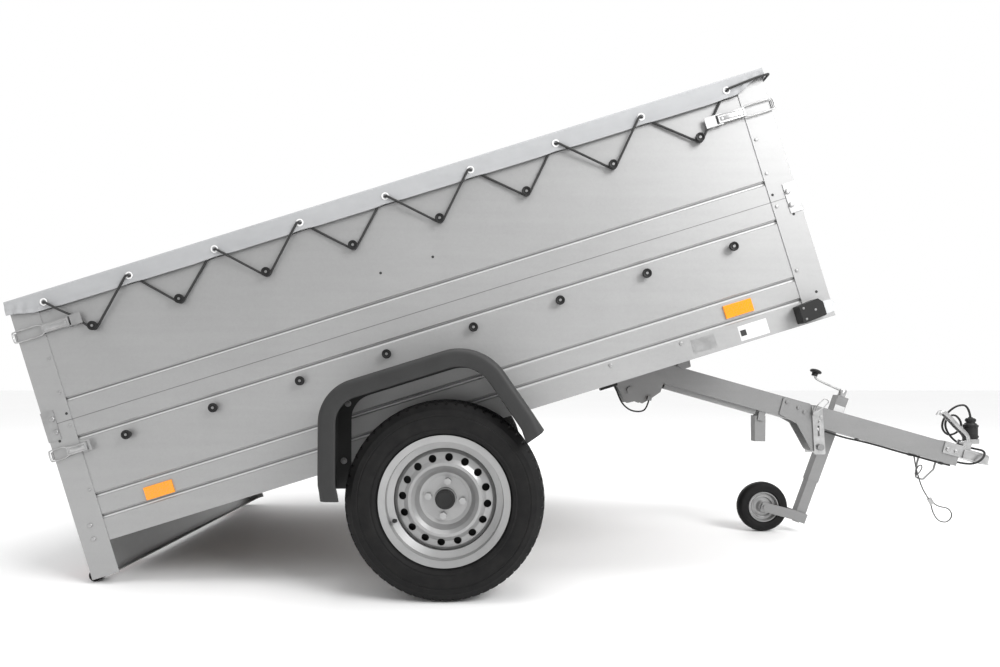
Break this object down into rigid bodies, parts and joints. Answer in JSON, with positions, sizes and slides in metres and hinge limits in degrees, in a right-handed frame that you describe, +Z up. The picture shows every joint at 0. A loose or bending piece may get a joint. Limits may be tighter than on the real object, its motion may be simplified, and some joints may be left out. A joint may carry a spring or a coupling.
{
  "type": "tipping box trailer",
  "caption": "Single-axle tipping box trailer with raised folded-steel sides, a laced flat cover, a folding drawbar, jockey wheel and ball coupling.",
  "frame": {"origin": "middle of the footprint on the ground, with the trailer standing tipped back on its tyres, rear rollers and jockey wheel", "axes": "+X forward along the drawbar, +Y to the left, +Z up"},
  "size_m": [3.4432, 1.71, 1.5578],
  "materials": {
    "galvanised_steel": "spangled zinc coating, satin",
    "zinc_plate": "bright zinc plating",
    "plywood": "brown film-faced plywood",
    "tyre": "moulded road tyre rubber",
    "wheel_silver": "silver wheel lacquer",
    "black_plastic": "moulded black plastic",
    "mudguard_plastic": "dark grey moulded plastic, fine grain",
    "tarpaulin": "light grey coated tarpaulin",
    "elastic_cord": "black braided elastic cord",
    "orange_reflector": "orange reflector",
    "white_lens": "clear white lens",
    "red_lens": "red lens",
    "cable_jacket": "black cable jacket",
    "steel_cable": "dark coated steel cable",
    "dark_steel": "dark zinc-nickel steel"
  },
  "bodies": {
    "chassis": {"floor_panel": "plywood", "floor_frame": "galvanised_steel", "axle_beam": "galvanised_steel", "lower_side_left": "galvanised_steel", "lower_side_right": "galvanised_steel", "upper_side_left": "galvanised_steel", "upper_side_right": "galvanised_steel", "corner_posts": "galvanised_steel", "front_board": "galvanised_steel", "lamp_beam": "galvanised_steel", "lamp_housings": "black_plastic", "front_lamp_lenses": "white_lens", "rear_lamp_lenses": "red_lens", "side_reflectors": "orange_reflector", "cover_hooks_and_eyelets": "black_plastic", "zinc_hardware": "zinc_plate", "mudguard_left": "mudguard_plastic", "mudguard_right": "mudguard_plastic", "cover_sheet": "tarpaulin", "cover_rear_flap": "tarpaulin", "cover_front_flap": "tarpaulin", "cover_lacing": "elastic_cord", "junction_box": "black_plastic", "hinge_cable": "cable_jacket"},
    "tailgate": {"tailgate": "galvanised_steel"},
    "upper_rear_board": {"upper_rear_board": "galvanised_steel"},
    "upper_front_board": {"upper_front_board": "galvanised_steel"},
    "stand_rollers": {"stand_rollers": "black_plastic"},
    "axle_arm_left": {"axle_arm_left": "galvanised_steel"},
    "axle_arm_right": {"axle_arm_right": "galvanised_steel"},
    "wheel_left": {"tyre_left": "tyre", "rim_left": "wheel_silver", "hub_left": "zinc_plate"},
    "wheel_right": {"tyre_right": "tyre", "rim_right": "wheel_silver", "hub_right": "zinc_plate"},
    "drawbar": {"drawbar_rear": "galvanised_steel", "fold_gussets": "dark_steel"},
    "lock_pin": {"fold_lock_pin": "zinc_plate"},
    "tip_lock": {"tip_lock": "galvanised_steel"},
    "drawbar_front": {"drawbar_front": "galvanised_steel", "fold_plates": "zinc_plate", "jockey_outer_tube": "galvanised_steel", "coupling_body": "zinc_plate", "connector_plug": "black_plastic", "plug_cable": "cable_jacket", "safety_cable": "steel_cable"},
    "coupling_handle": {"coupling_handle": "zinc_plate"},
    "coupling_jaw": {"coupling_jaw": "dark_steel"},
    "jockey_leg": {"jockey_leg": "galvanised_steel"},
    "jockey_fork": {"jockey_fork": "galvanised_steel"},
    "jockey_wheel": {"jockey_tyre": "tyre", "jockey_rim": "wheel_silver"},
    "jockey_crank": {"jockey_crank": "zinc_plate"},
    "latch_upper_rear_left": {"latch_upper_rear_left": "zinc_plate"},
    "latch_upper_rear_right": {"latch_upper_rear_right": "zinc_plate"},
    "latch_upper_front_left": {"latch_upper_front_left": "zinc_plate"},
    "latch_upper_front_right": {"latch_upper_front_right": "zinc_plate"},
    "latch_tailgate_left": {"latch_tailgate_left": "zinc_plate"},
    "latch_tailgate_right": {"latch_tailgate_right": "zinc_plate"}
  },
  "joints": [
    {"name": "suspension_left", "type": "hinge", "parent": "chassis", "child": "axle_arm_left", "pos_m": [-0.29865, 0.595, 0.44791], "axis": [0, 1, 0], "range_deg": [-5, 8], "stiffness_Nm_per_rad": 6000, "springref_deg": -0.86},
    {"name": "wheel_spin_left", "type": "hinge", "parent": "axle_arm_left", "child": "wheel_left", "pos_m": [-0.38291, 0.7375, 0.2805], "axis": [0, 1, 0], "continuous": true},
    {"name": "suspension_right", "type": "hinge", "parent": "chassis", "child": "axle_arm_right", "pos_m": [-0.29865, -0.595, 0.44791], "axis": [0, 1, 0], "range_deg": [-5, 8], "stiffness_Nm_per_rad": 6000, "springref_deg": -0.86},
    {"name": "wheel_spin_right", "type": "hinge", "parent": "axle_arm_right", "child": "wheel_right", "pos_m": [-0.38291, -0.7375, 0.2805], "axis": [0, 1, 0], "continuous": true},
    {"name": "tip_hinge", "type": "hinge", "parent": "chassis", "child": "drawbar", "pos_m": [0.29239, 0, 0.57438], "axis": [0, 1, 0], "range_deg": [-32.93, 0], "deforming": ["hinge_cable"]},
    {"name": "drawbar_fold", "type": "hinge", "parent": "drawbar", "child": "drawbar_front", "pos_m": [1.03676, 0, 0.35121], "axis": [0, 1, 0], "range_deg": [0, 90]},
    {"name": "lock_pin_slide", "type": "slide", "parent": "drawbar", "child": "lock_pin", "axis": [0, -1, 0], "range_m": [0, 0.08]},
    {"name": "tip_lock_swing", "type": "hinge", "parent": "drawbar", "child": "tip_lock", "pos_m": [0.81079, 0, 0.46369], "axis": [0, 1, 0], "range_deg": [-40, 40]},
    {"name": "coupling_handle_lift", "type": "hinge", "parent": "drawbar_front", "child": "coupling_handle", "pos_m": [1.62985, 0, 0.36182], "axis": [0, 1, 0], "range_deg": [0, 35]},
    {"name": "coupling_jaw_swing", "type": "hinge", "parent": "drawbar_front", "child": "coupling_jaw", "pos_m": [1.62638, 0, 0.33475], "axis": [0, 1, 0], "range_deg": [0, 3.3]},
    {"name": "jockey_crank_turn", "type": "hinge", "parent": "drawbar_front", "child": "jockey_crank", "pos_m": [1.17581, 0.068, 0.54622], "axis": [0.3425, 0, 0.9395], "range_deg": [-9000, 10800]},
    {"name": "jockey_leg_slide", "type": "slide", "parent": "drawbar_front", "child": "jockey_leg", "axis": [0.3425, 0, 0.9395], "range_m": [-0.1001, 0.1201]},
    {"name": "jockey_swivel", "type": "hinge", "parent": "jockey_leg", "child": "jockey_fork", "pos_m": [1.00524, 0.068, 0.07834], "axis": [0.3425, 0, 0.9395], "continuous": true},
    {"name": "jockey_wheel_spin", "type": "hinge", "parent": "jockey_fork", "child": "jockey_wheel", "pos_m": [0.85241, 0.068, 0.1], "axis": [0, 1, 0], "continuous": true},
    {"name": "tailgate_fold", "type": "hinge", "parent": "chassis", "child": "tailgate", "pos_m": [-1.47834, 0, 0.12977], "axis": [0, 1, 0], "range_deg": [-90, 0]},
    {"name": "upper_rear_fold", "type": "hinge", "parent": "chassis", "child": "upper_rear_board", "pos_m": [-1.59073, 0, 0.49277], "axis": [0, 1, 0], "range_deg": [-90, 0], "deforming": ["cover_rear_flap"]},
    {"name": "upper_front_fold", "type": "hinge", "parent": "chassis", "child": "upper_front_board", "pos_m": [0.65509, 0, 1.18811], "axis": [0, 1, 0], "range_deg": [0, 90], "deforming": ["cover_front_flap", "cover_lacing"]},
    {"name": "stand_roller_spin", "type": "hinge", "parent": "chassis", "child": "stand_rollers", "pos_m": [-1.46572, 0, 0.018], "axis": [0, 1, 0], "continuous": true},
    {"name": "latch_upper_rear_left_open", "type": "hinge", "parent": "chassis", "child": "latch_upper_rear_left", "pos_m": [-1.52545, 0.6435, 0.79248], "axis": [-0.2958, 0, 0.9553], "range_deg": [-110, 0]},
    {"name": "latch_upper_rear_right_open", "type": "hinge", "parent": "chassis", "child": "latch_upper_rear_right", "pos_m": [-1.52545, -0.6435, 0.79248], "axis": [-0.2958, 0, 0.9553], "range_deg": [0, 110]},
    {"name": "latch_upper_front_left_open", "type": "hinge", "parent": "chassis", "child": "latch_upper_front_left", "pos_m": [0.43188, 0.6435, 1.3985], "axis": [-0.2958, 0, 0.9553], "range_deg": [0, 110]},
    {"name": "latch_upper_front_right_open", "type": "hinge", "parent": "chassis", "child": "latch_upper_front_right", "pos_m": [0.43188, -0.6435, 1.3985], "axis": [-0.2958, 0, 0.9553], "range_deg": [-110, 0]},
    {"name": "latch_tailgate_left_open", "type": "hinge", "parent": "chassis", "child": "latch_tailgate_left", "pos_m": [-1.47149, 0.6435, 0.41872], "axis": [-0.2958, 0, 0.9553], "range_deg": [-110, 0]},
    {"name": "latch_tailgate_right_open", "type": "hinge", "parent": "chassis", "child": "latch_tailgate_right", "pos_m": [-1.47149, -0.6435, 0.41872], "axis": [-0.2958, 0, 0.9553], "range_deg": [0, 110]}
  ],
  "couplings": [
    {"joint": "jockey_leg_slide", "follows": "jockey_crank_turn", "m_per_rad": 0.00063662},
    {"joint": "coupling_jaw_swing", "follows": "coupling_handle_lift", "ratio": 0.09}
  ]
}
